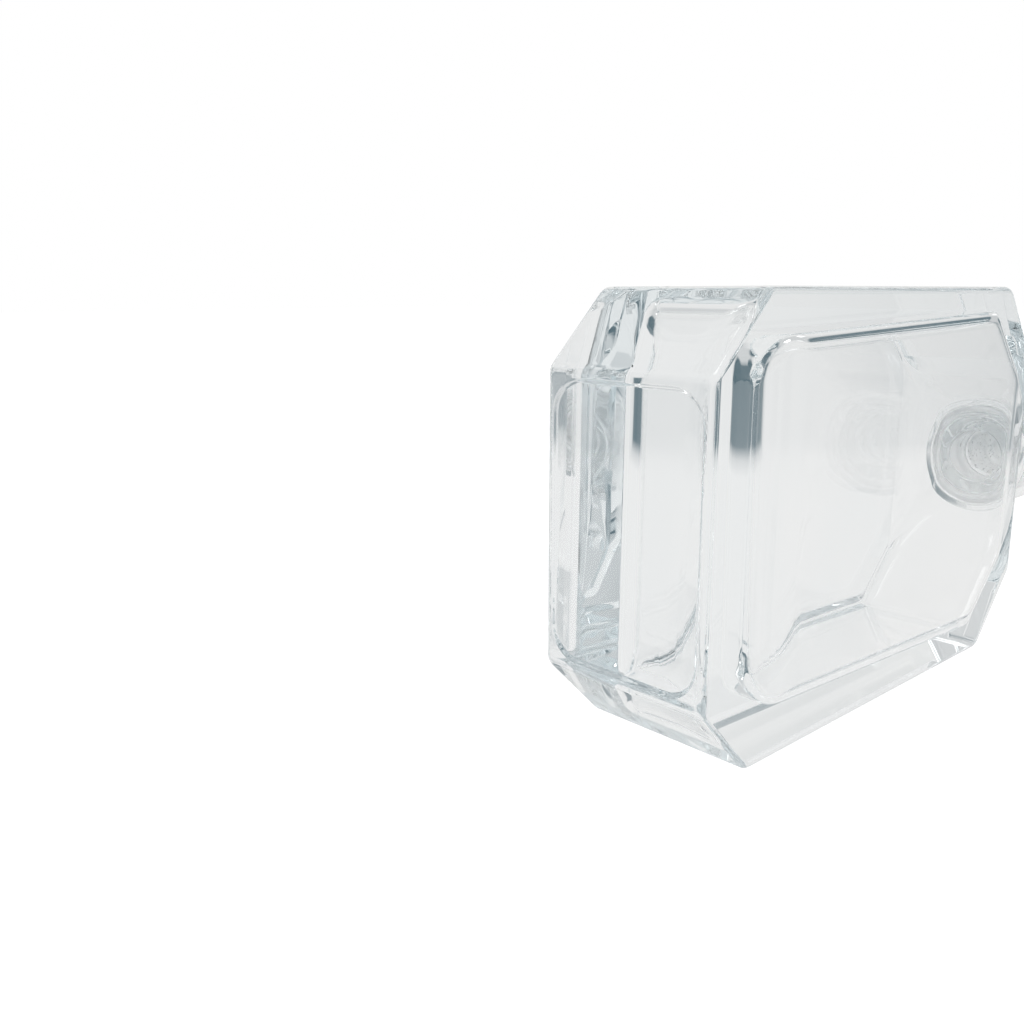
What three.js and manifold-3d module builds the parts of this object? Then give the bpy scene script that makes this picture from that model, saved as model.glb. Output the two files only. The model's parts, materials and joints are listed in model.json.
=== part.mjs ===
// An aftershave splash bottle, lying on one of its two long narrow sides.
// The body is a heavy clear-glass slab with an octagonal outline. Its shoulder rises in a low
// dome to a threaded neck. A plug reducer sits in the neck. The screw cap is a liner, a threaded
// insert and a clear outer shell.
//
// Millimetres, +Z up. +X runs from the glass base to the cap, and the wide faces look along -Y
// and +Y. The origin is the centre of the long narrow side that the bottle lies on.
//
// Every piece is drawn around the bottle's own axis, with x = 0 at the glass base plane, and one
// group then moves that axis into the part's frame.

import * as THREE from "three";
import { mergeVertices } from "three/addons/utils/BufferGeometryUtils.js";
import Module from "manifold-3d";

const wasm = await Module();
wasm.setup();

// ---------------------------------------------------------------- driving dimensions

const BODY = {
  length: 103.4,
  width: 72,
  thickness: 32,
  chamfer: 12, // cut off every corner of the outline, along the axis and, at the base, across it
  shoulderDrop: 13.4, // cut off the two shoulder corners, across the axis
  edge: 1.2,
};
const RECESS = { margin: 1.3, corner: 5.8, depth: 0.5 };
const DOME = { rise: 10, foot: 0.8, power: 1.5 }; // from the slab's end face up to the neck
const CAVITY = {
  base: 16.5, // glass under the liquid
  sideAtBase: 7, // glass at the two long narrow sides, at the base end
  sideAtShoulder: 4.5, // the same, where the shoulder starts
  face: 4.6, // glass at the two wide faces
  corner: 3, // radius along the four long edges
  faceFillet: 9, // rounds the floor towards the two wide faces
  sideFillet: 7, // rounds the floor towards the two narrow sides
  bend: 13, // from the slab's end face back to where the sides turn in
  domeStart: 1.4, // from the slab's end face back to where the inner dome starts
  mouth: 5.8, // radius where the inner dome turns into the neck
  mouthDepth: 1, // from the neck's foot down to the mouth
};
const NECK = { height: 14.5, root: 8.8, crest: 9.85, bore: 5.4, seam: 0.5 };
const THREAD = { pitch: 3.175, crestWidth: 0.9, flank: 0.4, sink: 0.3, fade: 0.08 };
const NECK_THREAD = { start: 7.2, turns: 1.5 };
const CAP_THREAD = { start: NECK_THREAD.start - THREAD.pitch / 2, turns: 1.5 };
const REDUCER = { flange: 8.2, flangeHeight: 1, sleeve: 8, wall: 1.2, hole: 2.6, rib: 0.08 };
const LINER = { radius: 9.7, height: 1.2 };
const INSERT = { radius: 11.4, root: 10.15, crest: 9.1, ceiling: 1.4, foot: 1.3 };
const SHELL = { radius: 13.2, foot: 0.8, height: 24, chamfer: 1 };
const GAP = 0.2; // between faces that rest on each other

const ROUND = 48; // sides of a turned piece, and steps in one turn of thread

// Places along the axis that several pieces share, from the base plane.
const shoulderX = BODY.length + DOME.rise;
const lipX = shoulderX + NECK.height;
const flangeTopX = lipX + GAP + REDUCER.flangeHeight;
const linerX = flangeTopX + GAP;
const ceilingX = linerX + LINER.height + GAP;
const insertTopX = ceilingX + INSERT.ceiling;

// ---------------------------------------------------------------- geometry helpers

function toSolid(geometry) {
  const positions = new THREE.BufferGeometry();
  positions.setAttribute("position", geometry.getAttribute("position").clone());
  if (geometry.index) positions.setIndex(geometry.index.clone());
  const merged = mergeVertices(positions, 1e-4);
  return new wasm.Manifold(
    new wasm.Mesh({
      numProp: 3,
      vertProperties: new Float32Array(merged.attributes.position.array),
      triVerts: new Uint32Array(merged.index.array),
    }),
  );
}

function toGeometry(solid) {
  const mesh = solid.getMesh();
  const geometry = new THREE.BufferGeometry();
  geometry.setAttribute("position", new THREE.BufferAttribute(mesh.vertProperties, 3));
  geometry.setIndex(new THREE.BufferAttribute(mesh.triVerts, 1));
  geometry.computeVertexNormals();
  return geometry;
}

// A solid turned about the X axis. The profile lists [x, radius] points and starts and ends on it.
function turned(profile) {
  const points = profile.map(([x, radius]) => new THREE.Vector2(radius, x));
  const geometry = new THREE.LatheGeometry(points, ROUND);
  geometry.rotateZ(-Math.PI / 2);
  return toSolid(geometry);
}

// A solid through equal closed loops of points, each running anticlockwise for someone who looks
// back along the loft, with a fan of triangles over each end.
function lofted(loops) {
  const sides = loops[0].length;
  const points = loops.flat();
  const index = [];
  const vertex = (ring, side) => ring * sides + (side % sides);
  for (let ring = 0; ring < loops.length - 1; ring++) {
    for (let side = 0; side < sides; side++) {
      const [a, b] = [vertex(ring, side), vertex(ring, side + 1)];
      const [c, d] = [vertex(ring + 1, side), vertex(ring + 1, side + 1)];
      index.push(a, b, d, a, d, c);
    }
  }
  const last = loops.length - 1;
  const startCentre = points.length;
  for (const loop of [loops[0], loops[last]]) {
    const centre = new THREE.Vector3();
    for (const point of loop) centre.addScaledVector(point, 1 / sides);
    points.push(centre);
  }
  for (let side = 0; side < sides; side++) {
    index.push(startCentre, vertex(0, side + 1), vertex(0, side));
    index.push(startCentre + 1, vertex(last, side), vertex(last, side + 1));
  }
  const geometry = new THREE.BufferGeometry().setFromPoints(points);
  geometry.setIndex(index);
  return toSolid(geometry);
}

// A rounded rectangle across the axis at x.
function roundedLoop(x, halfY, halfZ, radius, steps = 6) {
  const corners = [
    [halfY - radius, halfZ - radius],
    [radius - halfY, halfZ - radius],
    [radius - halfY, radius - halfZ],
    [halfY - radius, radius - halfZ],
  ];
  const loop = [];
  corners.forEach(([y, z], quarter) => {
    for (let step = 0; step <= steps; step++) {
      const angle = ((quarter + step / steps) * Math.PI) / 2;
      const across = y + radius * Math.cos(angle);
      const up = z + radius * Math.sin(angle);
      loop.push(new THREE.Vector3(x, across, up));
    }
  });
  return loop;
}

// A right-hand thread ridge that stands on a wall of the root radius, outwards or inwards.
function threadRidge({ root, crest, startX, turns }) {
  const { pitch, crestWidth, flank, sink, fade } = THREAD;
  const outward = Math.sign(crest - root);
  const halfCrest = crestWidth / 2;
  const halfRoot = halfCrest + flank;
  const steps = Math.round(turns * ROUND);
  const loops = [];
  for (let step = 0; step <= steps; step++) {
    const wound = (turns * step) / steps;
    const angle = 2 * Math.PI * wound;
    const x = startX + pitch * wound;
    const full = Math.min(1, 0.1 + Math.min(wound, turns - wound) / fade);
    const foot = root - outward * sink;
    const top = root + (crest - root) * full;
    const section = [
      [x - halfRoot, foot],
      [x + halfRoot, foot],
      [x + halfCrest, top],
      [x - halfCrest, top],
    ];
    if (outward < 0) section.reverse();
    loops.push(
      section.map(([along, r]) => new THREE.Vector3(along, r * Math.cos(angle), r * Math.sin(angle))),
    );
  }
  return lofted(loops);
}

// ---------------------------------------------------------------- glass bottle

function octagonalSlab() {
  const { length, width, thickness, chamfer, shoulderDrop, edge } = BODY;
  const half = width / 2;
  const outline = new THREE.Shape();
  outline.moveTo(chamfer, -half);
  outline.lineTo(length - chamfer, -half);
  outline.lineTo(length, shoulderDrop - half);
  outline.lineTo(length, half - shoulderDrop);
  outline.lineTo(length - chamfer, half);
  outline.lineTo(chamfer, half);
  outline.lineTo(0, half - chamfer);
  outline.lineTo(0, chamfer - half);
  outline.closePath();
  const slab = new THREE.ExtrudeGeometry(outline, {
    depth: thickness - 2 * edge,
    bevelSize: edge,
    bevelOffset: -edge,
    bevelThickness: edge,
    bevelSegments: 2,
  });
  slab.translate(0, 0, edge - thickness / 2);
  slab.rotateX(Math.PI / 2);
  return toSolid(slab);
}

// Sections that shrink from a rounded rectangle to a circle while they climb along the axis. The
// climb is steep at first and levels out, as on a dome.
function domeLoops(startX, rise, from, radius, sections = 6) {
  const nearlyRound = radius - 0.05;
  const mix = THREE.MathUtils.lerp;
  const loops = [];
  for (let section = 0; section <= sections; section++) {
    const share = section / sections;
    loops.push(
      roundedLoop(
        startX + rise * (1 - (1 - share) ** DOME.power),
        mix(from.halfY, radius, share),
        mix(from.halfZ, radius, share),
        mix(from.corner, nearlyRound, share),
      ),
    );
  }
  return loops;
}

function shoulderDome() {
  const halfY = BODY.thickness / 2 - BODY.edge;
  const halfZ = BODY.width / 2 - BODY.shoulderDrop - BODY.edge / 2;
  const root = roundedLoop(BODY.length - DOME.foot, halfY, halfZ, 1);
  const top = NECK.root + 1;
  return lofted([root, ...domeLoops(BODY.length, DOME.rise, { halfY, halfZ, corner: 1 }, top)]);
}

// A shallow rounded panel sunk in the base, so that the bottle stands on a rim.
function baseRecess() {
  const { margin, corner, depth } = RECESS;
  const halfY = BODY.thickness / 2 - margin;
  const halfZ = BODY.width / 2 - BODY.chamfer - margin;
  return lofted([
    roundedLoop(-1, halfY, halfZ, corner),
    roundedLoop(0, halfY, halfZ, corner),
    roundedLoop(depth, halfY - depth, halfZ - depth, corner - depth),
  ]);
}

// The space for the liquid. It has a rounded floor over the heavy base, widens slightly towards
// the shoulder, turns in at 45 degrees, and closes in a dome that opens into the neck.
function cavity() {
  const { base, faceFillet, sideFillet, corner, bend, domeStart, mouth, mouthDepth } = CAVITY;
  const halfY = BODY.thickness / 2 - CAVITY.face;
  const halfZAtBase = BODY.width / 2 - CAVITY.sideAtBase;
  const halfZAtShoulder = BODY.width / 2 - CAVITY.sideAtShoulder;
  const loops = [];
  const floorSteps = 6;
  for (let step = 0; step <= floorSteps; step++) {
    const angle = (step / floorSteps) * (Math.PI / 2);
    const inset = 1 - Math.sin(angle);
    const x = base + faceFillet * (1 - Math.cos(angle));
    const y = halfY - faceFillet * inset;
    loops.push(roundedLoop(x, y, halfZAtBase - sideFillet * inset, Math.min(corner, 0.8 * y)));
  }
  loops.push(roundedLoop(BODY.length - bend, halfY, halfZAtShoulder, corner));
  const domeX = BODY.length - domeStart;
  const halfZ = halfZAtShoulder - (bend - domeStart);
  const rise = domeStart + DOME.rise - mouthDepth;
  loops.push(...domeLoops(domeX, rise, { halfY, halfZ, corner }, mouth));
  return lofted(loops);
}

function neckBore() {
  const footX = shoulderX - CAVITY.mouthDepth - 1;
  return turned([
    [footX, 0],
    [footX, NECK.bore],
    [lipX + 1, NECK.bore],
    [lipX + 1, 0],
  ]);
}

function glassBottle() {
  const neck = turned([
    [shoulderX - NECK.seam, 0],
    [shoulderX - NECK.seam, NECK.root],
    [lipX - 0.6, NECK.root],
    [lipX, NECK.root - 0.6],
    [lipX, 0],
  ]);
  const thread = threadRidge({
    root: NECK.root,
    crest: NECK.crest,
    startX: shoulderX + NECK_THREAD.start,
    turns: NECK_THREAD.turns,
  });
  return octagonalSlab()
    .add(shoulderDome())
    .add(neck)
    .add(thread)
    .subtract(baseRecess())
    .subtract(cavity())
    .subtract(neckBore());
}

// ---------------------------------------------------------------- orifice reducer

// A soft plug with three sealing ribs, a flange on the glass lip, and a pouring hole in its top.
function orificeReducer() {
  const outer = NECK.bore - 0.2;
  const inner = outer - REDUCER.wall;
  const bottomX = lipX - REDUCER.sleeve;
  const ceiling = lipX - REDUCER.wall;
  const ribs = [];
  for (let rib = 0; rib < 3; rib++) {
    const x = bottomX + 1.6 + 2 * rib;
    ribs.push([x - 0.4, outer], [x, outer + REDUCER.rib], [x + 0.4, outer]);
  }
  const body = turned([
    [bottomX, 0],
    [bottomX, outer - 0.4],
    [bottomX + 0.8, outer],
    ...ribs,
    [lipX + GAP, outer],
    [lipX + GAP, REDUCER.flange],
    [flangeTopX - 0.2, REDUCER.flange],
    [flangeTopX, REDUCER.flange - 0.2],
    [flangeTopX, 0],
  ]);
  const passage = turned([
    [bottomX - 1, 0],
    [bottomX - 1, inner],
    [ceiling, inner],
    [ceiling, REDUCER.hole],
    [flangeTopX + 1, REDUCER.hole],
    [flangeTopX + 1, 0],
  ]);
  return body.subtract(passage);
}

// ---------------------------------------------------------------- cap

// A foam disc, loose in the cap, that seals on the reducer's flange.
function capLiner() {
  return turned([
    [linerX, 0],
    [linerX, LINER.radius],
    [linerX + LINER.height, LINER.radius],
    [linerX + LINER.height, 0],
  ]);
}

// The moulded inner cap. It carries the thread, which meets the flanks of the neck's thread
// half a pitch away.
function threadInsert() {
  const footX = shoulderX + INSERT.foot;
  const body = turned([
    [footX, 0],
    [footX, INSERT.radius - 0.3],
    [footX + 0.3, INSERT.radius],
    [insertTopX - 0.5, INSERT.radius],
    [insertTopX, INSERT.radius - 0.5],
    [insertTopX, 0],
  ]);
  const hollow = turned([
    [footX - 1, 0],
    [footX - 1, INSERT.root],
    [ceilingX, INSERT.root],
    [ceilingX, 0],
  ]);
  const thread = threadRidge({
    root: INSERT.root,
    crest: INSERT.crest,
    startX: shoulderX + CAP_THREAD.start,
    turns: CAP_THREAD.turns,
  });
  return body.subtract(hollow).add(thread);
}

// The clear outer cap, thick over the top.
function capShell() {
  const footX = shoulderX + SHELL.foot;
  const topX = shoulderX + SHELL.height;
  const inner = INSERT.radius + GAP;
  return turned([
    [insertTopX + GAP, 0],
    [insertTopX + GAP, inner - 0.5],
    [insertTopX + GAP - 0.5, inner],
    [footX, inner],
    [footX, SHELL.radius - 0.3],
    [footX + 0.3, SHELL.radius],
    [topX - SHELL.chamfer, SHELL.radius],
    [topX, SHELL.radius - SHELL.chamfer],
    [topX, 0],
  ]);
}

// ---------------------------------------------------------------- materials and assembly

const clear = { transparent: true, metalness: 0 };
const MATERIALS = {
  glass: new THREE.MeshStandardMaterial({ ...clear, color: 0xf0f5f6, roughness: 0.02, opacity: 0.3 }),
  clearPlastic: new THREE.MeshStandardMaterial({
    ...clear,
    color: 0xf6f8f8,
    roughness: 0.06,
    opacity: 0.35,
  }),
  naturalPlastic: new THREE.MeshStandardMaterial({ color: 0xe9ecea, roughness: 0.45, metalness: 0 }),
  whitePlastic: new THREE.MeshStandardMaterial({ color: 0xf1f2f0, roughness: 0.4, metalness: 0 }),
  foam: new THREE.MeshStandardMaterial({ color: 0xf7f7f5, roughness: 0.85, metalness: 0 }),
};

function named(name, solid, material) {
  const mesh = new THREE.Mesh(toGeometry(solid), material);
  mesh.name = name;
  return mesh;
}

const bottle = new THREE.Group();
bottle.position.set(-BODY.length / 2, 0, BODY.width / 2);
bottle.add(
  named("glass_bottle", glassBottle(), MATERIALS.glass),
  named("orifice_reducer", orificeReducer(), MATERIALS.naturalPlastic),
  named("cap_liner", capLiner(), MATERIALS.foam),
  named("cap_thread_insert", threadInsert(), MATERIALS.whitePlastic),
  named("cap_outer_shell", capShell(), MATERIALS.clearPlastic),
);

export default new THREE.Group().add(bottle);
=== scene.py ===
"""A clear glass aftershave bottle that lies on its narrow side, with its pour reducer and cap.

Blender units are metres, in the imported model's own frame. Sizes below are millimetres and are
scaled by MM where a mesh is made. Along the bottle's axis, x is 0 at the glass base plane."""

import json
import math

import bpy
from mathutils import Matrix, Vector, noise


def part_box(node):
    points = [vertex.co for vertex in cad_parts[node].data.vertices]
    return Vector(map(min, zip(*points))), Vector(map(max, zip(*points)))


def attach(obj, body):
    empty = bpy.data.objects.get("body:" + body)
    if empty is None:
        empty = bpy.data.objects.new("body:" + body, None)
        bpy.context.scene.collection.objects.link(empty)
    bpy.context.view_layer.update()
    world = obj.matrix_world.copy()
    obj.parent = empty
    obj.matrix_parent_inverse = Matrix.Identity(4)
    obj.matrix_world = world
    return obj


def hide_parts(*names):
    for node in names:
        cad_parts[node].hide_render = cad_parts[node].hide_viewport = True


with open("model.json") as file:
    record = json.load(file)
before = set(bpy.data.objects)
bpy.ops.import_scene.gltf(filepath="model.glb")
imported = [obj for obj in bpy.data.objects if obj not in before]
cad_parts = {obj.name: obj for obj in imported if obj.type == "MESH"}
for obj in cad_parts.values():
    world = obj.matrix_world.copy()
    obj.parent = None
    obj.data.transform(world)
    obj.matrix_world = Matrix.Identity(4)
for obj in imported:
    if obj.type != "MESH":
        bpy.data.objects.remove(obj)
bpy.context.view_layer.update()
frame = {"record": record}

MM = 0.001

# ------------------------------------------------------------------ places, from the frame

glass_low, glass_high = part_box("glass_bottle")
BASE_X = glass_low.x / MM
AXIS_Z = (glass_low.z + glass_high.z) / 2 / MM
HALF_Y = (glass_high.y - glass_low.y) / 2 / MM
HALF_Z = (glass_high.z - glass_low.z) / 2 / MM

LIP = glass_high.x / MM - BASE_X
NECK_HEIGHT, RISE = 14.5, 10
NECK_X = LIP - NECK_HEIGHT  # where the neck leaves the domed shoulder
LENGTH = NECK_X - RISE  # where the slab ends and the dome starts


def along(node, end):
    """How far a node's lower (0) or upper (1) end is from the base plane, in millimetres."""
    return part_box(node)[end].x / MM - BASE_X


def reach(node):
    """A turned node's outer radius, in millimetres."""
    low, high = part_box(node)
    return (high.y - low.y) / 2 / MM


# ------------------------------------------------------------------ outlines and skins

QUARTER = (16, 16, 8)  # points up half a long edge, round a corner, and along half a short edge
SIDES = 4 * sum(QUARTER)


def fillet_path(points, radii, steps=7):
    """An open line through points, with the corner at each inner point rounded to its radius."""
    path = [Vector(points[0])]
    for i in range(1, len(points) - 1):
        corner, radius = Vector(points[i]), radii[i - 1]
        if radius <= 0:
            path.append(corner)
            continue
        back = (Vector(points[i - 1]) - corner).normalized()
        on = (Vector(points[i + 1]) - corner).normalized()
        half = back.angle(on) / 2
        centre = corner + (back + on).normalized() * radius / math.sin(half)
        start = corner + back * radius / math.tan(half) - centre
        turn = start.angle_signed(corner + on * radius / math.tan(half) - centre)
        for step in range(steps + 1):
            spot = start.copy()
            spot.rotate(Matrix.Rotation(-turn * step / steps, 2))
            path.append(centre + spot)
    path.append(Vector(points[-1]))
    return path


def height_at(path, x):
    """The height of a path that runs along x, at x."""
    for a, b in zip(path, path[1:]):
        if a.x <= x <= b.x and b.x > a.x:
            return a.y + (b.y - a.y) * (x - a.x) / (b.x - a.x)
    return path[-1].y if x > path[-1].x else path[0].y


def slab_loop(x, half_y, half_z, radius):
    """A rounded rectangle across the axis, from +Y towards +Z."""
    up, arc, over = QUARTER
    quarter = [(half_y, (half_z - radius) * i / up) for i in range(up)]
    for i in range(arc):
        angle = math.pi / 2 * i / arc
        quarter.append(
            (half_y - radius + radius * math.cos(angle), half_z - radius + radius * math.sin(angle))
        )
    quarter += [((half_y - radius) * (1 - i / over), half_z) for i in range(over)]
    mirrored = [(0, half_z)] + [(y, z) for y, z in reversed(quarter)][:-1]
    half = quarter + [(-y, z) for y, z in mirrored]
    return [(x, y, z) for y, z in half + [(-y, -z) for y, z in half]]


def mix(a, b, share):
    return a + (b - a) * share


DOME_POWER = 1.5
OUTER_SEAM, INNER_SEAM = 0.12, 0.3  # shares of the domes taken up by the roundings at their foot


def dome_spot(start, rise, side, radius, share):
    """A point on a dome's profile, from its side (share 0) to the round opening (share 1)."""
    return Vector((start + rise * (1 - (1 - share) ** DOME_POWER), mix(side, radius, share)))


def dome_loops(start, rise, half_y, half_z, corner, radius, seam, steps=18):
    """Loops that turn a rounded rectangle into a circle on their way up a dome."""
    loops = []
    for step in range(1, steps + 1):
        done = step / steps
        share = mix(seam, 1, done)
        x, y = dome_spot(start, rise, half_y, radius, share)
        z = dome_spot(start, rise, half_z, radius, share).y
        square = slab_loop(x, y, z, mix(corner, radius - 0.2, done))
        ring = round_loop(x, radius)
        loops.append([tuple(Vector(a).lerp(Vector(b), done**3)) for a, b in zip(square, ring)])
    return loops


def round_loop(x, radius):
    """A circle across the axis, with as many points as a slab loop. radius may depend on angle."""
    loop = []
    for i in range(SIDES):
        angle = 2 * math.pi * i / SIDES
        r = radius(x, angle) if callable(radius) else radius
        loop.append((x, r * math.cos(angle), r * math.sin(angle)))
    return loop


def skin(name, loops, ring=False):
    """A closed piece through the loops. Its ends are capped, or joined to each other in a ring."""
    verts = [
        Vector((BASE_X + x, y, AXIS_Z + z)) * MM for loop in loops for x, y, z in loop
    ]
    count = len(loops)
    faces = []
    for k in range(count if ring else count - 1):
        here, there = k * SIDES, (k + 1) % count * SIDES
        for i in range(SIDES):
            j = (i + 1) % SIDES
            faces.append((here + i, here + j, there + j, there + i))
    if not ring:
        for loop_start, flip in ((0, True), ((count - 1) * SIDES, False)):
            centre = sum(verts[loop_start : loop_start + SIDES], Vector()) / SIDES
            verts.append(centre)
            for i in range(SIDES):
                a, b = loop_start + i, loop_start + (i + 1) % SIDES
                faces.append((len(verts) - 1, b, a) if flip else (len(verts) - 1, a, b))
    mesh = bpy.data.meshes.new(name)
    mesh.from_pydata(verts, [], faces)
    mesh.validate()
    mesh.shade_smooth()
    obj = bpy.data.objects.new(name, mesh)
    bpy.context.scene.collection.objects.link(obj)
    weighted = obj.modifiers.new("weighted", "WEIGHTED_NORMAL")
    weighted.mode = "FACE_AREA"
    weighted.weight = 50
    return obj


# ------------------------------------------------------------------ thread

PITCH = 3.175
THREAD_TOP, THREAD_FOOT = 0.4, 0.95  # half widths of the ridge at its crest and at its root


def smooth(value):
    value = min(1.0, max(0.0, value))
    return value * value * (3 - 2 * value)


def ridge(x, angle, start, turns, fade=0.1):
    """How much of a right-hand thread's height stands at a place: 1 on the crest, 0 off it."""
    best = 0.0
    for turn in range(math.ceil(turns) + 1):
        wound = angle / (2 * math.pi) + turn
        ends = smooth(min(wound, turns - wound) / fade)
        gap = abs(x - start - PITCH * wound)
        best = max(best, ends * smooth((THREAD_FOOT - gap) / (THREAD_FOOT - THREAD_TOP)))
    return best


# ------------------------------------------------------------------ glass

CHAMFER, SHOULDER_DROP = 12, 13.4
EDGE = 1.3  # rounding of the outer edges
CUT_EDGE = 2.5  # rounding where two faces meet at 135 degrees
DOME_FOOT = 2  # rounding where the dome leaves the slab

RECESS_MARGIN, RECESS_CORNER, RECESS_DEPTH = 1.3, 5.8, 0.5

FLOOR = 16.5  # glass under the liquid
SIDE_AT_BASE, SIDE_AT_SHOULDER = 7, 4.5
FACE_WALL = 4.6
BEND, DOME_START = LENGTH - 13, LENGTH - 1.4
FLOOR_FILLET, SIDE_FILLET = 9, 7  # round the hollow's floor, towards the wide and narrow sides
FACE_BEND, SIDE_BEND = 8, 3  # where the hollow's walls turn in at the shoulder
HOLLOW_CORNER = 3

BORE, MOUTH, NECK_ROOT, NECK_CREST = 5.4, 5.8, 8.8, 9.85
NECK_FOOT = 0.9  # rounding where the neck leaves the dome
NECK_THREAD = (NECK_X + 7.2, 1.5)


def outer_loops():
    """The base recess, the bearing rim, the faceted outside, and the dome up to the neck."""
    top = NECK_ROOT + NECK_FOOT
    drop_z = HALF_Z - SHOULDER_DROP
    z_path = fillet_path(
        [(0, 0), (0, HALF_Z - CHAMFER), (CHAMFER, HALF_Z), (LENGTH - CHAMFER, HALF_Z)]
        + [(LENGTH, drop_z), dome_spot(LENGTH, RISE, drop_z, top, OUTER_SEAM)],
        [CUT_EDGE] * 3 + [DOME_FOOT],
    )
    y_path = fillet_path(
        [(0, 0), (0, HALF_Y), (LENGTH, HALF_Y), dome_spot(LENGTH, RISE, HALF_Y, top, OUTER_SEAM)],
        [EDGE, DOME_FOOT],
    )
    loops = []
    panel_y, panel_z = HALF_Y - RECESS_MARGIN, HALF_Z - CHAMFER - RECESS_MARGIN
    slope = 0.9  # how far the recess's soft wall leans
    for share in (0.3, 0.6, 0.85, 1):
        y, z = (panel_y - slope) * share, (panel_z - slope) * share
        loops.append(slab_loop(RECESS_DEPTH, y, z, (RECESS_CORNER - slope) * share))
    for step in range(1, 9):
        share = step / 8
        lean = slope * (1 - share)
        x = RECESS_DEPTH * (0.5 + 0.5 * math.cos(math.pi * share))
        loops.append(slab_loop(x, panel_y - lean, panel_z - lean, RECESS_CORNER - lean))
    stops = {round(p.x, 5) for p in z_path + y_path}
    stops |= {CHAMFER + (LENGTH - 2 * CHAMFER) * i / 12 for i in range(1, 12)}
    for x in sorted(stops):
        y, z = height_at(y_path[1:], x), height_at(z_path[1:], x)
        loops.append(slab_loop(x, y, z, EDGE))
    return loops + dome_loops(LENGTH, RISE, HALF_Y, drop_z, EDGE, top, OUTER_SEAM)


def neck_loops():
    """The neck's outside with its thread, the sealing lip, and the bore."""
    path = fillet_path(
        [(NECK_X, 11), (NECK_X, NECK_ROOT), (LIP, NECK_ROOT), (LIP, BORE), (NECK_X - 1, BORE)]
        + [(NECK_X - 1, 11)],
        [NECK_FOOT, 0.7, 0.5, MOUTH - BORE],
    )[2:-1]
    made = []
    for a, b in zip(path, path[1:]):
        threaded = a.y > NECK_ROOT - 0.01 and b.y > NECK_ROOT - 0.01 and b.x - a.x > 2
        pieces = 62 if threaded else 8 if abs(b.x - a.x) > 2 else 1
        for i in range(pieces):
            x, r = a.lerp(b, i / pieces)
            made.append(round_loop(x, neck_side if threaded else r))
    return made


def neck_side(x, angle):
    return NECK_ROOT + (NECK_CREST - NECK_ROOT) * ridge(x, angle, *NECK_THREAD)


def hollow_loops():
    """The inside, from the mouth at the neck down to the floor over the heavy base."""
    high_y, low_z, high_z = HALF_Y - FACE_WALL, HALF_Z - SIDE_AT_BASE, HALF_Z - SIDE_AT_SHOULDER
    dome_z = high_z - (DOME_START - BEND)
    rise = NECK_X - 1 - DOME_START
    z_path = fillet_path(
        [(FLOOR, 0), (FLOOR, low_z), (BEND, high_z), (DOME_START, dome_z)]
        + [dome_spot(DOME_START, rise, dome_z, MOUTH, INNER_SEAM)],
        [SIDE_FILLET, SIDE_BEND, SIDE_BEND],
        steps=10,
    )
    y_path = fillet_path(
        [(FLOOR, 0), (FLOOR, high_y), (DOME_START, high_y)]
        + [dome_spot(DOME_START, rise, high_y, MOUTH, INNER_SEAM)],
        [FLOOR_FILLET, FACE_BEND],
        steps=10,
    )
    low = FLOOR + FLOOR_FILLET
    stops = {round(p.x, 4) for p in z_path + y_path}
    stops |= {round(low + (BEND - low) * i / 36, 4) for i in range(1, 36)}
    loops = dome_loops(DOME_START, rise, high_y, dome_z, HOLLOW_CORNER, MOUTH, INNER_SEAM)[::-1]
    for x in sorted(stops, reverse=True):
        y, z = height_at(y_path[1:], x), height_at(z_path[1:], x)
        loops.append(slab_loop(x, y, z, min(HOLLOW_CORNER, 0.8 * y)))
    y, z = y_path[1].y, z_path[1].y
    for share in (0.75, 0.5, 0.25):
        loops.append(slab_loop(FLOOR, y * share, z * share, 0.8 * y * share))
    return loops


def make_glass():
    outer, neck, hollow = outer_loops(), neck_loops(), hollow_loops()
    glass = skin("glass_body", outer + neck + hollow)
    inner = range((len(outer) + len(neck)) * SIDES, len(outer + neck + hollow) * SIDES)
    ripple(glass, inner, amount=0.04, size=26)
    return glass


def ripple(obj, indices, amount, size):
    """Moves some vertices along their normals by a soft noise, amount millimetres each way."""
    normals = [obj.data.vertices[i].normal.copy() for i in indices]
    for i, normal in zip(indices, normals):
        vertex = obj.data.vertices[i]
        wave = noise.noise(vertex.co / (size * MM))
        vertex.co += normal * wave * amount * MM


# ------------------------------------------------------------------ reducer and cap


def turned_loops(points, radii, closed=False):
    """Round loops through a profile of (x, radius) points with its corners rounded.

    A closed profile has a radius for every point, an open one for its inner points only."""
    if closed:
        first = (Vector(points[0]) + Vector(points[-1])) / 2
        points = [first, *points, first]
    path = fillet_path(points, radii, steps=4)
    if closed:
        path = path[:-1]
    return [round_loop(x, r) for x, r in path]


def make_reducer():
    """A soft plug: sealing ribs in the bore, a flange on the lip, and a raised pouring hole."""
    bottom, top = along("orifice_reducer", 0), along("orifice_reducer", 1)
    flange = reach("orifice_reducer")
    outer, inner, hole = BORE - 0.2, BORE - 1.4, 2.6
    seat = LIP + 0.2
    ribs = []
    for rib in range(3):
        x = bottom + 1.6 + 2 * rib
        ribs += [(x - 0.45, outer), (x, outer + 0.12), (x + 0.45, outer)]
    ceiling = LIP - 1.2
    points = [(ceiling, inner), (bottom, inner), (bottom, outer - 0.4), (bottom + 0.9, outer)]
    points += ribs
    points += [(seat, outer), (seat, flange), (top, flange), (top, hole + 1.4)]
    points += [(top - 0.45, hole + 0.9), (top - 0.1, hole + 0.6)]
    points += [(top - 0.1, hole), (ceiling, hole)]
    radii = [0.5, 0.2, 0.2, 0.3] + [0.15, 0.1, 0.15] * 3
    radii += [0.2, 0.15, 0.25, 0.3, 0.15, 0.1, 0.1, 0.2]
    return skin("reducer", turned_loops(points, radii, closed=True), ring=True)


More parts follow.
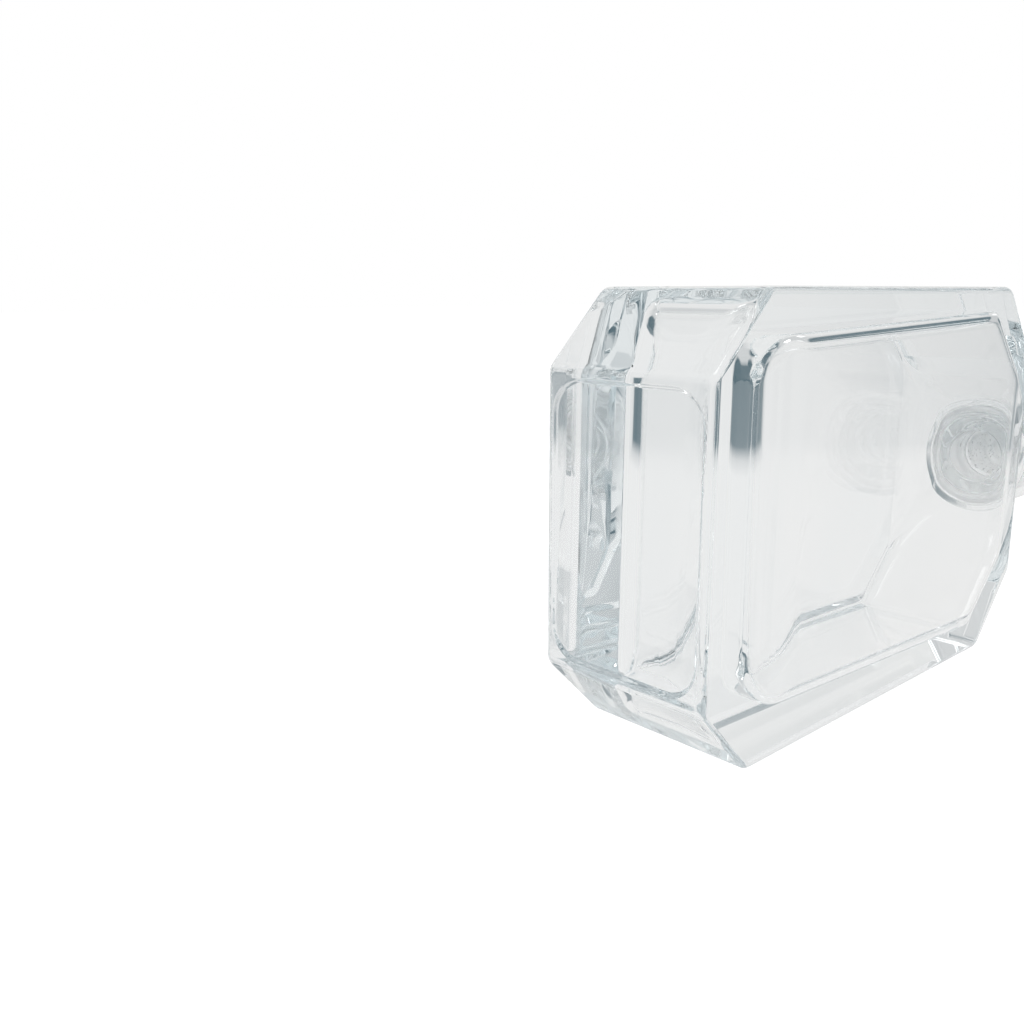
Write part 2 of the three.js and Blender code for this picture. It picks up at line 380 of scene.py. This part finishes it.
def make_liner():
    low, high = along("cap_liner", 0), along("cap_liner", 1)
    radius = reach("cap_liner")
    points = [(low, 0.4), (low, radius * 0.6), (low, radius), (high, radius), (high, 0.4)]
    return skin("liner", turned_loops(points, [0, 0.25, 0.25]))


INSERT_ROOT, INSERT_CREST = 10.15, 9.1
INSERT_THREAD = (NECK_X + 7.2 - PITCH / 2, 1.5)
INSERT_RIBS = 40


def make_insert():
    """The inner cap: the thread inside, and fine upright ribs outside that grip the shell."""
    foot, top = along("cap_thread_insert", 0), along("cap_thread_insert", 1)
    radius = reach("cap_thread_insert")
    ceiling = top - 1.4
    loops = turned_loops([(ceiling, 0.4), (ceiling, 6), (ceiling, INSERT_ROOT)], [0])
    steps = 90
    for step in range(1, steps):
        x = ceiling + (foot + 0.3 - ceiling) * step / steps
        loops.append(
            round_loop(
                x,
                lambda x, angle: INSERT_ROOT
                + (INSERT_CREST - INSERT_ROOT) * ridge(x, angle, *INSERT_THREAD),
            )
        )
    loops += turned_loops([(foot + 0.3, INSERT_ROOT), (foot, INSERT_ROOT + 0.2)], [])
    collar = 1.6  # plain band at the foot, under the ribs

    def ribbed(x, angle):
        depth = 0.28 * smooth((x - foot - collar) / 0.4) * smooth((top - 0.9 - x) / 0.4)
        return radius - depth * (0.5 - 0.5 * math.cos(INSERT_RIBS * angle)) ** 2

    side = fillet_path(
        [(foot, radius - 0.6), (foot, radius), (top, radius), (top, 0.4)], [0.25, 0.45]
    )
    rise = 60
    for a, b in zip(side, side[1:]):
        pieces = rise if b.x - a.x > 5 else 1
        for i in range(pieces):
            x, r = a.lerp(b, i / pieces)
            loops.append(round_loop(x, ribbed if r > radius - 1e-6 else r))
    loops.append(round_loop(top, 5))
    loops.append(round_loop(top, 0.4))
    return skin("thread_insert", loops)


def make_shell():
    """The clear outer cap, thick over the top, with a soft polished edge."""
    foot, top = along("cap_outer_shell", 0), along("cap_outer_shell", 1)
    radius = reach("cap_outer_shell")
    inner = reach("cap_thread_insert") + 0.2
    ceiling = along("cap_thread_insert", 1) + 0.2
    points = [(ceiling, 0.4), (ceiling, inner), (foot, inner), (foot, radius), (top, radius)]
    points += [(top, 0.4)]
    return skin("cap_shell", turned_loops(points, [0.6, 0.25, 0.4, 1.3]))


# ------------------------------------------------------------------ materials

GLASS_IOR, PLASTIC_IOR = 1.51, 1.49


def node_material(name):
    material = bpy.data.materials.new(name)
    material.use_nodes = True
    nodes = material.node_tree.nodes
    nodes.clear()
    output = nodes.new("ShaderNodeOutputMaterial")
    shader = nodes.new("ShaderNodeBsdfPrincipled")
    material.node_tree.links.new(shader.outputs["BSDF"], output.inputs["Surface"])
    return material, nodes, material.node_tree.links, shader, output


def noise_node(nodes, links, size, detail=3, stretch=(1, 1, 1)):
    """Noise with features about size millimetres across, in object space."""
    place = nodes.new("ShaderNodeTexCoord")
    mapping = nodes.new("ShaderNodeMapping")
    mapping.inputs["Scale"].default_value = [s / (size * MM) for s in stretch]
    links.new(place.outputs["Object"], mapping.inputs["Vector"])
    texture = nodes.new("ShaderNodeTexNoise")
    texture.inputs["Scale"].default_value = 1
    texture.inputs["Detail"].default_value = detail
    links.new(mapping.outputs["Vector"], texture.inputs["Vector"])
    return texture


def range_node(nodes, links, socket, low, high, start=0.3, end=0.7):
    """Maps a value between start and end onto the range from low to high."""
    node = nodes.new("ShaderNodeMapRange")
    node.inputs["From Min"].default_value = start
    node.inputs["From Max"].default_value = end
    node.inputs["To Min"].default_value = low
    node.inputs["To Max"].default_value = high
    links.new(socket, node.inputs["Value"])
    return node.outputs["Result"]


def colour_ramp(nodes, links, socket, stops):
    ramp = nodes.new("ShaderNodeValToRGB")
    elements = ramp.color_ramp.elements
    while len(elements) < len(stops):
        elements.new(0.5)
    for element, (place, colour) in zip(elements, stops):
        element.position = place
        element.color = (*colour, 1)
    links.new(socket, ramp.inputs["Fac"])
    return ramp.outputs["Color"]


def add_bump(nodes, links, shader, socket, strength, depth):
    bump = nodes.new("ShaderNodeBump")
    bump.inputs["Strength"].default_value = strength
    bump.inputs["Distance"].default_value = depth * MM
    links.new(socket, bump.inputs["Height"])
    links.new(bump.outputs["Normal"], shader.inputs["Normal"])


def glass_material():
    """Clear glass with the slow ripple of a moulded surface and a faint cool tint in its depth."""
    material, nodes, links, shader, output = node_material("clear_glass")
    tint = noise_node(nodes, links, 30, detail=1)
    links.new(
        colour_ramp(
            nodes, links, tint.outputs["Fac"], [(0.35, (0.985, 0.99, 0.992)), (0.65, (1, 1, 1))]
        ),
        shader.inputs["Base Color"],
    )
    shader.inputs["Transmission Weight"].default_value = 1
    shader.inputs["IOR"].default_value = GLASS_IOR
    shader.inputs["Roughness"].default_value = 0
    ripples = noise_node(nodes, links, 9, detail=2)
    add_bump(nodes, links, shader, ripples.outputs["Fac"], 0.1, 0.03)
    absorb = nodes.new("ShaderNodeVolumeAbsorption")
    absorb.inputs["Color"].default_value = (0.74, 0.86, 0.90, 1)
    absorb.inputs["Density"].default_value = 3
    links.new(absorb.outputs["Volume"], output.inputs["Volume"])
    return material


MILKY_LIGHT, MILKY_DARK = (0.995, 0.995, 0.995), (0.98, 0.98, 0.98)


def plastic_material(name, roughness, grain):
    """Translucent moulded plastic with slight flow marks and a fine surface grain."""
    material, nodes, links, shader, _ = node_material(name)
    flow = noise_node(nodes, links, 4, detail=4, stretch=(0.35, 1, 1))
    links.new(
        colour_ramp(nodes, links, flow.outputs["Fac"], [(0.35, MILKY_DARK), (0.65, MILKY_LIGHT)]),
        shader.inputs["Base Color"],
    )
    shader.inputs["Transmission Weight"].default_value = 0.94
    shader.inputs["IOR"].default_value = PLASTIC_IOR
    fine = noise_node(nodes, links, grain, detail=3)
    links.new(
        range_node(nodes, links, fine.outputs["Fac"], roughness * 0.8, roughness * 1.25),
        shader.inputs["Roughness"],
    )
    add_bump(nodes, links, shader, fine.outputs["Fac"], 0.3, 0.02)
    return material


FOAM_CELL = 1 / 2600  # in metres


def foam_material():
    """Closed-cell foam sheet: a skin of cells about 0.4 mm across."""
    material, nodes, links, shader, _ = node_material("foam_liner")
    place = nodes.new("ShaderNodeTexCoord")
    cells = nodes.new("ShaderNodeTexVoronoi")
    cells.inputs["Scale"].default_value = 1 / FOAM_CELL
    links.new(place.outputs["Object"], cells.inputs["Vector"])
    links.new(
        colour_ramp(
            nodes,
            links,
            cells.outputs["Distance"],
            [(0.1, (0.955, 0.955, 0.95)), (0.5, (0.98, 0.98, 0.975))],
        ),
        shader.inputs["Base Color"],
    )
    shader.inputs["Roughness"].default_value = 0.6
    shader.inputs["Transmission Weight"].default_value = 0.6
    add_bump(nodes, links, shader, cells.outputs["Distance"], 0.25, 0.05)
    return material


def clear_plastic_material():
    """Polished clear plastic with the faint flow lines of a moulding."""
    material, nodes, links, shader, _ = node_material("clear_plastic")
    flow = noise_node(nodes, links, 14, detail=2, stretch=(0.3, 1, 1))
    links.new(
        colour_ramp(
            nodes, links, flow.outputs["Fac"], [(0.35, (0.975, 0.985, 0.99)), (0.65, (1, 1, 1))]
        ),
        shader.inputs["Base Color"],
    )
    shader.inputs["Transmission Weight"].default_value = 1
    shader.inputs["IOR"].default_value = PLASTIC_IOR
    shader.inputs["Roughness"].default_value = 0.01
    add_bump(nodes, links, shader, flow.outputs["Fac"], 0.2, 0.04)
    return material


# ------------------------------------------------------------------ stage and camera


SENSOR_WIDTH, FOCAL_LENGTH = 36, 34.61  # in millimetres
# Where the camera stands, in millimetres from the base plane and the bottle's axis, and the
# directions of its back and its right side.
CAMERA_SPOT = Vector((-106.4, -94.22, 35.08))
CAMERA_BACK = Vector((-0.6529, -0.7256, 0.2173))
CAMERA_RIGHT = Vector((0.7431, -0.6692, -0.0021))


def make_camera():
    data = bpy.data.cameras.new("camera")
    data.sensor_width = SENSOR_WIDTH
    data.lens = FOCAL_LENGTH
    data.clip_start, data.clip_end = 0.01, 20
    camera = bpy.data.objects.new("camera", data)
    bpy.context.scene.collection.objects.link(camera)
    back = CAMERA_BACK.normalized()
    right = (CAMERA_RIGHT - back * CAMERA_RIGHT.dot(back)).normalized()
    up = back.cross(right)
    camera.matrix_world = Matrix(
        (
            (right.x, up.x, back.x, (BASE_X + CAMERA_SPOT.x) * MM),
            (right.y, up.y, back.y, CAMERA_SPOT.y * MM),
            (right.z, up.z, back.z, (AXIS_Z + CAMERA_SPOT.z) * MM),
            (0, 0, 0, 1),
        )
    )
    bpy.context.scene.camera = camera


BACKDROP = Vector((0.669, 0.743, 0))  # where the white backdrop stands, seen from the bottle
BACKDROP_EDGE, BACKDROP_FULL = 0.5, 0.8  # cosines where the backdrop starts and is full
GLOW_DISC, GLOW_DISC_FADE = 0.28, 1.3  # radius in metres of the floor's disc of painted white glow under the bottle, and how far out it fades
# Black cards round the bottle, drawn as dark parts of the world and as painted shade in the floor's
# glow: the direction of each, and the cosines where it starts and is full.
CARDS = [
    (Vector((-0.669, 0.743, 0)), 0.80, 0.88),
    (Vector((-0.707, -0.707, 0)), 0.93, 0.97),
    (Vector((0.90, -0.28, 0.33)), 0.91, 0.96),
]
WHITE, PALE, DARK = (0.825, 0.825, 0.82), (0.625, 0.64, 0.645), (0.06, 0.12, 0.15)
SHADES = [(0, DARK), (0.5, PALE), (1, WHITE)]

FLOOR_HALF, FLOOR_DROP = 4.0, 0.0003  # the floor's half width, and its gap under the bottle
LAMP_TARGET = Vector((0, 0, 0.03))


def math_node(nodes, links, operation, *values):
    node = nodes.new("ShaderNodeMath")
    node.operation = operation
    for socket, value in zip(node.inputs, values):
        if isinstance(value, (int, float)):
            socket.default_value = value
        else:
            links.new(value, socket)
    return node.outputs["Value"]


def towards(nodes, links, direction, target, edge, full):
    """1 for a direction near the target, 0 well away from it. edge and full are cosines."""
    dot = nodes.new("ShaderNodeVectorMath")
    dot.operation = "DOT_PRODUCT"
    dot.inputs[1].default_value = target
    links.new(direction, dot.inputs[0])
    return range_node(nodes, links, dot.outputs["Value"], 0, 1, edge, full)


def surroundings(nodes, links, direction):
    """0 towards a black card, 1 towards the white backdrop, and a half everywhere else."""
    change = towards(nodes, links, direction, BACKDROP, BACKDROP_EDGE, BACKDROP_FULL)
    for card, edge, full in CARDS:
        black = towards(nodes, links, direction, card, edge, full)
        change = math_node(nodes, links, "SUBTRACT", change, black)
    return math_node(nodes, links, "MULTIPLY_ADD", change, 0.5, 0.5)


def show_plain(nodes, links, output, lit, plain):
    """The camera sees the plain shader. Rays through or off the bottle see the lit one."""
    path = nodes.new("ShaderNodeLightPath")
    choice = nodes.new("ShaderNodeMixShader")
    links.new(path.outputs["Is Camera Ray"], choice.inputs[0])
    links.new(lit, choice.inputs[1])
    links.new(plain, choice.inputs[2])
    links.new(choice.outputs["Shader"], output.inputs["Surface"])


def make_world():
    """A pale room with a white backdrop behind the bottle and a few black cards round it."""
    world = bpy.data.worlds.new("studio")
    bpy.context.scene.world = world
    world.use_nodes = True
    nodes, links = world.node_tree.nodes, world.node_tree.links
    nodes.clear()
    output = nodes.new("ShaderNodeOutputWorld")
    place = nodes.new("ShaderNodeTexCoord")
    shade = surroundings(nodes, links, place.outputs["Generated"])
    background = nodes.new("ShaderNodeBackground")
    links.new(colour_ramp(nodes, links, shade, SHADES), background.inputs["Color"])
    plain = nodes.new("ShaderNodeEmission")
    plain.inputs["Color"].default_value = (1, 1, 1, 1)
    plain.inputs["Strength"].default_value = 1
    show_plain(
        nodes, links, output, background.outputs["Background"], plain.outputs["Emission"]
    )


def vector_node(nodes, links, operation, output, vector):
    """One of the outputs of a vector operation on one vector."""
    node = nodes.new("ShaderNodeVectorMath")
    node.operation = operation
    links.new(vector, node.inputs[0])
    return node.outputs[output]


def make_floor():
    """A wide floor that the camera sees plain and pale. For rays off the bottle it glows with
    painted light: white on a disc under the bottle, pale all round, lighter towards the white
    backdrop and dark towards the black cards.
    """
    mesh = bpy.data.meshes.new("floor")
    corners = ((-1, -1), (1, -1), (1, 1), (-1, 1))
    mesh.from_pydata(
        [(x * FLOOR_HALF, y * FLOOR_HALF, -FLOOR_DROP) for x, y in corners],
        [],
        [(0, 1, 2, 3)],
    )
    floor = bpy.data.objects.new("floor", mesh)
    bpy.context.scene.collection.objects.link(floor)
    material, nodes, links, shader, output = node_material("floor")
    place = nodes.new("ShaderNodeTexCoord").outputs["Object"]
    away = vector_node(nodes, links, "NORMALIZE", "Vector", place)
    distance = vector_node(nodes, links, "LENGTH", "Value", place)
    # Painted light: the floor glows in these shades instead of being lit, white round the bottle
    # and darker towards the black cards.
    near = range_node(nodes, links, distance, 1, 0, GLOW_DISC, GLOW_DISC * GLOW_DISC_FADE)
    shade = math_node(nodes, links, "MAXIMUM", near, surroundings(nodes, links, away))
    glow = colour_ramp(nodes, links, shade, SHADES)
    links.new(glow, shader.inputs["Emission Color"])
    shader.inputs["Emission Strength"].default_value = 0.9
    shader.inputs["Base Color"].default_value = (0.15, 0.15, 0.15, 1)
    shader.inputs["Roughness"].default_value = 0.9
    shader.inputs["Specular IOR Level"].default_value = 0
    shown = nodes.new("ShaderNodeBsdfPrincipled")
    shown.inputs["Base Color"].default_value = (0.25, 0.25, 0.25, 1)
    shown.inputs["Specular IOR Level"].default_value = 0
    shown.inputs["Roughness"].default_value = 1
    shown.inputs["Emission Color"].default_value = (1, 1, 1, 1)
    shown.inputs["Emission Strength"].default_value = 0.93
    show_plain(nodes, links, output, shader.outputs["BSDF"], shown.outputs["BSDF"])
    floor.data.materials.append(material)


def soft_light(name, place, size, power):
    """A square white lamp that faces the bottle. place and size are metres, power is watts."""
    data = bpy.data.lights.new(name, "AREA")
    data.shape = "RECTANGLE"
    data.size = data.size_y = size
    data.energy = power
    light = bpy.data.objects.new(name, data)
    light.location = place
    aim = LAMP_TARGET - Vector(place)
    light.rotation_euler = aim.to_track_quat("-Z", "Y").to_euler()
    bpy.context.scene.collection.objects.link(light)


make_camera()
make_world()
make_floor()
soft_light("top_left", (-0.35, 0.1, 0.8), size=0.25, power=0.8)
soft_light("top_right", (0.5, 0.3, 0.8), size=0.3, power=0.2)

PIECES = [
    (make_glass(), "glass_bottle", glass_material()),
    (
        make_reducer(),
        "orifice_reducer",
        plastic_material("natural_plastic", roughness=0.3, grain=0.5),
    ),
    (make_liner(), "cap_liner", foam_material()),
    (
        make_insert(),
        "cap_thread_insert",
        plastic_material("white_plastic", roughness=0.35, grain=0.4),
    ),
    (make_shell(), "cap_outer_shell", clear_plastic_material()),
]
BODY_OF = {
    node: body for body, nodes in frame["record"]["behaviour"]["bodies"].items() for node in nodes
}
for piece, node, material in PIECES:
    piece.data.materials.append(material)
    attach(piece, BODY_OF[node])
    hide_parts(node)

GLASS_BOUNCES, DIFFUSE_BOUNCES = 40, 12

scene = bpy.context.scene
scene.view_settings.view_transform = "Standard"
scene.cycles.max_bounces = GLASS_BOUNCES
scene.cycles.glossy_bounces = GLASS_BOUNCES
scene.cycles.transmission_bounces = GLASS_BOUNCES
scene.cycles.diffuse_bounces = DIFFUSE_BOUNCES
scene.cycles.blur_glossy = 0  # else the closure behind the glass turns dark grey
